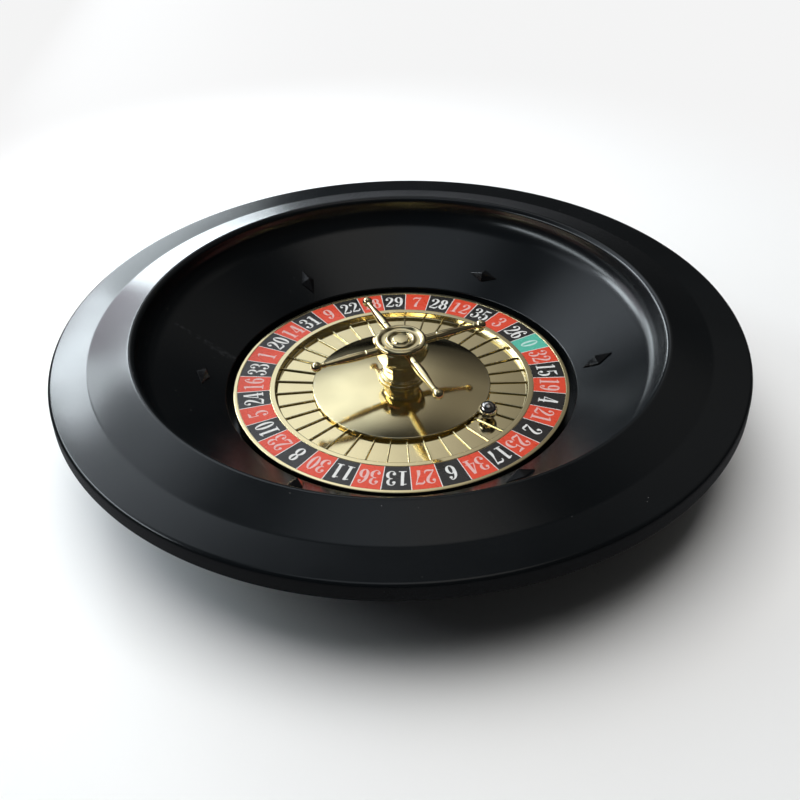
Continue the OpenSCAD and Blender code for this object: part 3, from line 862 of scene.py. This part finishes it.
def build_hub():
    """Bulb with four flats, bored for the arms."""
    hub_h = cap_z - stem_top
    bulb_r, bulb_c = 11.5, (5.7, 15)
    bulb = [(bolt_hole, 0), (10.75, 0)] + arc((10.8, 0.5), 0.5, -80, 80, 10)
    bulb += [(10.9, 1.3), (10.85, 2.6), (10.95, 4.0)] + arc(bulb_c, bulb_r, -60, 0, 20)
    bulb += rounded([(bulb_c[0] + bulb_r, hub_h - 2, 0), (bulb_c[0] + bulb_r, hub_h, 1.6),
                     (bolt_hole, hub_h, 0)], 0, 6)
    hub = lathe("turret_hub_bulb", [(r, z + stem_top) for r, z in bulb], 160)
    flat = arm_seat
    square = [(-flat, -flat), (flat, -flat), (flat, flat), (-flat, flat)]
    block = loft("block", [[(x, y, z) for x, y in square] for z in (stem_top - 1, cap_z + 1)])
    block.data.transform(Matrix.Rotation(radians(arm_a), 4, "Z"))
    combine(hub, [block], "INTERSECT")
    bore_r, bore_in, bore_out = 1.27, 5.8, 18
    bores = []
    for n in range(1, arms + 1):
        bore = lathe("bore", [(0, bore_in), (bore_r, bore_in), (bore_r, bore_out), (0, bore_out)], 48)
        bore.data.transform(along_arm(n))
        bores.append(bore)
    combine(hub, bores, "DIFFERENCE")
    soften(hub, 0.35, 3, 28)
    settle(hub, "wheel_head", "gold_plating", GOLD, "turret_hub")


def build_cap():
    """Disc with a rolled rim, a raised ring and a button in the middle."""
    screw_hole, bore_top, floor_h, rim_curve = 2.52, 1.7, 1.4, 1.9
    cap = [(0, bore_top), (screw_hole, bore_top), (screw_hole, 0)]
    cap += [(cap_r - 0.6, 0), (cap_r - 0.15, 0.15)]
    cap += arc((cap_r - rim_curve, 0.7), rim_curve, 0, 145, 20)
    cap += [(cap_r - 3.8, floor_h + 0.12), (cap_r - 4.2, floor_h)]
    cap += [(9.6, floor_h), (9.3, floor_h + 0.1)]
    cap += arc((7.9, floor_h), 1.3, 15, 165, 16)
    cap += rounded([(6.3, floor_h, 0.3), (5.3, floor_h, 0.4), (4.8, 2.2, 0.3), (4.4, 2.5, 0.4),
                    (0, 2.6)], 0)
    build_turned("turret_cap_disc", "turret_cap", cap_z, cap)


def build_arms():
    """Turned arms: spigot, grooved collar, tapered grip, bead and tip ball."""
    neck = arm_reach - 4.6
    neck_r, bead_r, tip_r = 1.45, 1.95, 3.1
    neck_drop = sqrt(tip_r ** 2 - neck_r ** 2)
    groove = arm_shank - 0.4
    arm = rounded([
        (0, 6), (1.25, 6, 0.2), (1.25, arm_seat, 0), (arm_shank, arm_seat, 0.1), (arm_shank, 22.4, 0.2),
        (groove, 22.8, 0.2), (groove, 23.4, 0.2), (arm_shank, 23.8, 0.3), (arm_shank + 0.2, 28, 2),
        (arm_shank, 34, 2), (arm_shank - 0.6, 41, 2), (neck_r, neck - 1.5, 1), (neck_r, neck - 0.8, 0.15),
        (bead_r, neck - 0.5, 0.2), (bead_r, neck + 0.3, 0.2), (neck_r, neck + 0.7, 0.15),
        (neck_r, arm_reach - neck_drop, 0.1)], 0.3, 4)
    start = 4 - degrees(atan2(neck_drop, neck_r))
    arm += arc((0, arm_reach), tip_r, start, 89, 22) + [(0, arm_reach + tip_r)]
    for n in range(1, arms + 1):
        handle = lathe(f"turret_arm_{n}_handle", arm, 72)
        handle.data.transform(along_arm(n))
        settle(handle, "wheel_head", "gold_plating", GOLD, f"turret_arm_{n}", sharp=28)


# ---------------------------------------------------------------- ball


def build_ball():
    """Polished steel ball."""
    half = [(0, -ball_radius)] + arc((0, 0), ball_radius, -88, 88, 58) + [(0, ball_radius)]
    ball = lathe("steel_ball", half, 120)
    ball.data.transform(Matrix.Translation(ball_centre))
    settle(ball, "ball", "ball_chrome", BALL, "ball")


def dress_cad_nodes():
    """Procedural finishes for the CAD nodes that stay in view."""
    slots = {
        "spindle": "plated_steel", "spindle_washer": "plated_steel", "spindle_nut": "plated_steel",
        "bearing_spacer": "plated_steel", "retaining_ring": "spring_steel",
        "bearing_inner_race": "bearing_steel", "bearing_outer_race": "bearing_steel",
        "bearing_shields": "bearing_shield", "bearing_cage": "cage_brass",
        "bearing_balls": "bearing_steel", "cone_screws": "plated_steel", "turret_bolt": "plated_steel",
    }
    for node, slot in slots.items():
        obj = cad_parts[node]
        obj.data.materials.clear()
        obj.data.materials.append(NODE_LOOKS[slot])


# ---------------------------------------------------------------- studio


def build_floor():
    """Pale floor that fades into the backdrop, dimmer in mirror reflections than to the eye."""
    bm = bmesh.new()
    floor_r, fade_start, fade_end, glow = 14, 0.27, 0.6, 0.9
    bmesh.ops.create_circle(bm, cap_ends=True, radius=floor_r, segments=96)
    mesh = bpy.data.meshes.new("floor")
    bm.to_mesh(mesh)
    bm.free()
    floor = bpy.data.objects.new("floor", mesh)
    bpy.context.scene.collection.objects.link(floor)
    look = Look("floor_paper")
    paper = look.blend(look.noise(240, 3), (0.84, 0.84, 0.845), (0.88, 0.88, 0.875))
    mirror = look.node("LightPath").outputs["Is Glossy Ray"]
    seen = look.node("LightPath").outputs["Is Camera Ray"]
    away = look.node("VectorMath", {0: look.place}, operation="LENGTH").outputs["Value"]
    fade = look.maths("MULTIPLY", look.span(away, fade_start, fade_end), seen)
    # painted shade: in mirror reflections the floor turns dark grey, standing in for a dim room around the
    # wheel
    tone = look.blend(mirror, paper, (0.10, 0.10, 0.105))
    look.set(Base_Color=look.blend(fade, tone, (0.0, 0.0, 0.0)), Roughness=0.75, Specular_IOR_Level=0.1,
             Emission_Color=(1.0, 1.0, 1.0), Emission_Strength=look.maths("MULTIPLY", fade, glow))
    mesh.materials.append(look.material)


def area_light(name, place, target, width, height, radiance, colour, glossy=True):
    """Rectangular soft light that faces a point. Its power follows from its size and radiance."""
    light = bpy.data.lights.new(name, "AREA")
    light.shape = "RECTANGLE"
    light.size, light.size_y = width, height
    light.energy = radiance * pi * width * height
    light.color = colour
    obj = bpy.data.objects.new(name, light)
    obj.location = place
    obj.rotation_euler = (Vector(target) - Vector(place)).to_track_quat("-Z", "Y").to_euler()
    obj.visible_camera = False
    obj.visible_glossy = glossy
    bpy.context.scene.collection.objects.link(obj)


def build_lights():
    """Window wall on the left, in panes of unequal brightness, and soft light from above."""
    window_x, front_y, beside_y, near_y, far_y = -0.4, -0.25, 0.28, 0.56, 2.0
    sill_z, low_z, middle_z, high_z, top_z = 0.04, 0.2, 0.27, 0.36, 0.4
    sky, dusk = (0.86, 0.95, 1.0), (0.92, 0.9, 1.0)
    panes = (("window_far_lower", near_y, far_y, sill_z, low_z, 10, sky),
             ("window_far_upper", near_y, far_y, low_z, high_z, 3.5, sky),
             ("window_near_upper", beside_y, near_y, middle_z, top_z, 14, sky),
             ("window_beside", front_y, beside_y, low_z, middle_z, 8, sky),
             ("window_near_lower", beside_y, near_y, sill_z, middle_z, 2, dusk))
    for name, start, end, low, high, radiance, colour in panes:
        centre = (window_x, (start + end) / 2, (low + high) / 2)
        ahead = (0, centre[1], centre[2])
        area_light(name, centre, ahead, end - start, high - low, radiance, colour)
    overhead_z, overhead_size, warm = 2.4, 2.4, (1.0, 0.99, 0.97)
    area_light("overhead", (-0.3, 0.2, overhead_z), (0, 0, 0), overhead_size, overhead_size, 3.2, warm,
               glossy=False)


def build_world():
    """Dim room whose back is brighter high up and to the left, with a pale backdrop for the camera."""
    wall_level, front_level, ceiling_level, base_level, backdrop_level = 1.15, 0.01, 0.6, 0.03, 0.92
    warm, cool, neutral = (1.0, 0.97, 0.92, 1), (0.9, 0.99, 1.08, 1), (0.98, 0.98, 0.98, 1)
    world = bpy.data.worlds.new("room")
    bpy.context.scene.world = world
    world.use_nodes = True
    tree = world.node_tree
    background = tree.nodes["Background"]

    def node(kind, inputs=None, **settings):
        """New node with its inputs and settings filled in."""
        made = tree.nodes.new("ShaderNode" + kind)
        for key, value in settings.items():
            setattr(made, key, value)
        for key, value in (inputs or {}).items():
            if isinstance(value, bpy.types.NodeSocket):
                tree.links.new(value, made.inputs[key])
            else:
                made.inputs[key].default_value = value
        return made

    def maths(operation, a, b=0.0):
        """Result of an operation on one or two values."""
        return node("Math", {0: a, 1: b}, operation=operation).outputs["Value"]

    def product(first, *others):
        """Product of two or more values."""
        for other in others:
            first = maths("MULTIPLY", first, other)
        return first

    def span(value, low, high, out_low=0.0, out_high=1.0):
        """Smooth step from out_low to out_high as the value goes from low to high."""
        inputs = {"Value": value, "From Min": low, "From Max": high, "To Min": out_low,
                  "To Max": out_high}
        return node("MapRange", inputs, interpolation_type="SMOOTHSTEP").outputs["Result"]

    def layer(start, full, until, end):
        """Band of elevation, in degrees, that fades in and out again."""
        return maths("MULTIPLY", span(height, radians(start), radians(full)),
                     span(height, radians(end), radians(until)))

    way = node("TexCoord").outputs["Generated"]
    parts = node("SeparateXYZ", {"Vector": way})
    x, y, z = (parts.outputs[axis] for axis in "XYZ")
    azimuth = maths("ARCTAN2", x, y)
    height = maths("ARCSINE", z)
    left = span(azimuth, radians(16), radians(-16))
    side = span(left, 0.0, 1.0, 0.12, 1.0)
    behind = span(y, -0.1, 0.3)
    clutter = node("TexNoise", {"Vector": way, "Scale": 3.2, "Detail": 2.0}).outputs["Fac"]
    wall = product(layer(20, 38, 45, 59), side, behind, span(clutter, 0.3, 0.62, 0.8, 1.15), wall_level)
    front = product(span(y, 0.0, -0.3), layer(14, 26, 46, 58), front_level)
    ceiling = product(span(height, radians(64), radians(76)), ceiling_level)
    level = maths("ADD", maths("ADD", wall, front), maths("ADD", ceiling, base_level))

    camera_ray = node("LightPath").outputs["Is Camera Ray"]
    strength = node("Mix", data_type="FLOAT")
    tree.links.new(camera_ray, strength.inputs["Factor"])
    tree.links.new(level, strength.inputs[2])
    strength.inputs[3].default_value = backdrop_level
    tree.links.new(strength.outputs[0], background.inputs["Strength"])
    tint = node("Mix", data_type="RGBA")
    tree.links.new(left, tint.inputs["Factor"])
    tint.inputs[6].default_value = warm
    tint.inputs[7].default_value = cool
    plain = node("Mix", data_type="RGBA")
    tree.links.new(camera_ray, plain.inputs["Factor"])
    tree.links.new(tint.outputs[2], plain.inputs[6])
    plain.inputs[7].default_value = neutral
    tree.links.new(plain.outputs[2], background.inputs["Color"])


def build_camera():
    """Camera above the front edge, aimed just off the middle of the wheel head."""
    elevation, distance = radians(36.28), 0.6699
    yaw, pitch, roll = radians(-0.66), radians(-0.946), radians(1.335)
    target = Vector((0, 0, ring_z * MM))
    back = Vector((0, -cos(elevation), sin(elevation)))
    forward, right = -back, Vector((1, 0, 0))
    up = right.cross(forward)
    for axis, angle in ((up.copy(), yaw), (right.copy(), pitch)):
        turn = Matrix.Rotation(angle, 3, axis)
        forward, right, up = turn @ forward, turn @ right, turn @ up
    turn = Matrix.Rotation(roll, 3, forward)
    right, up = turn @ right, turn @ up
    lens = bpy.data.cameras.new("camera")
    lens.sensor_width = 36
    lens.lens = 49.19
    lens.shift_x, lens.shift_y = -0.01825, -0.002
    lens.clip_start = 0.02
    camera = bpy.data.objects.new("camera", lens)
    basis = Matrix((right, up, -forward)).transposed().to_4x4()
    camera.matrix_world = Matrix.Translation(target + back * distance) @ basis
    bpy.context.scene.collection.objects.link(camera)
    bpy.context.scene.camera = camera


build_bowl()
build_deflectors()
build_feet()
build_pocket_wheel()
build_number_ring()
build_numerals()
build_cone()
build_base_and_stem()
build_hub()
build_cap()
build_arms()
build_ball()
dress_cad_nodes()
build_floor()
build_lights()
build_world()
build_camera()
bpy.context.scene.view_settings.view_transform = "Standard"

bpy.context.view_layer.update()
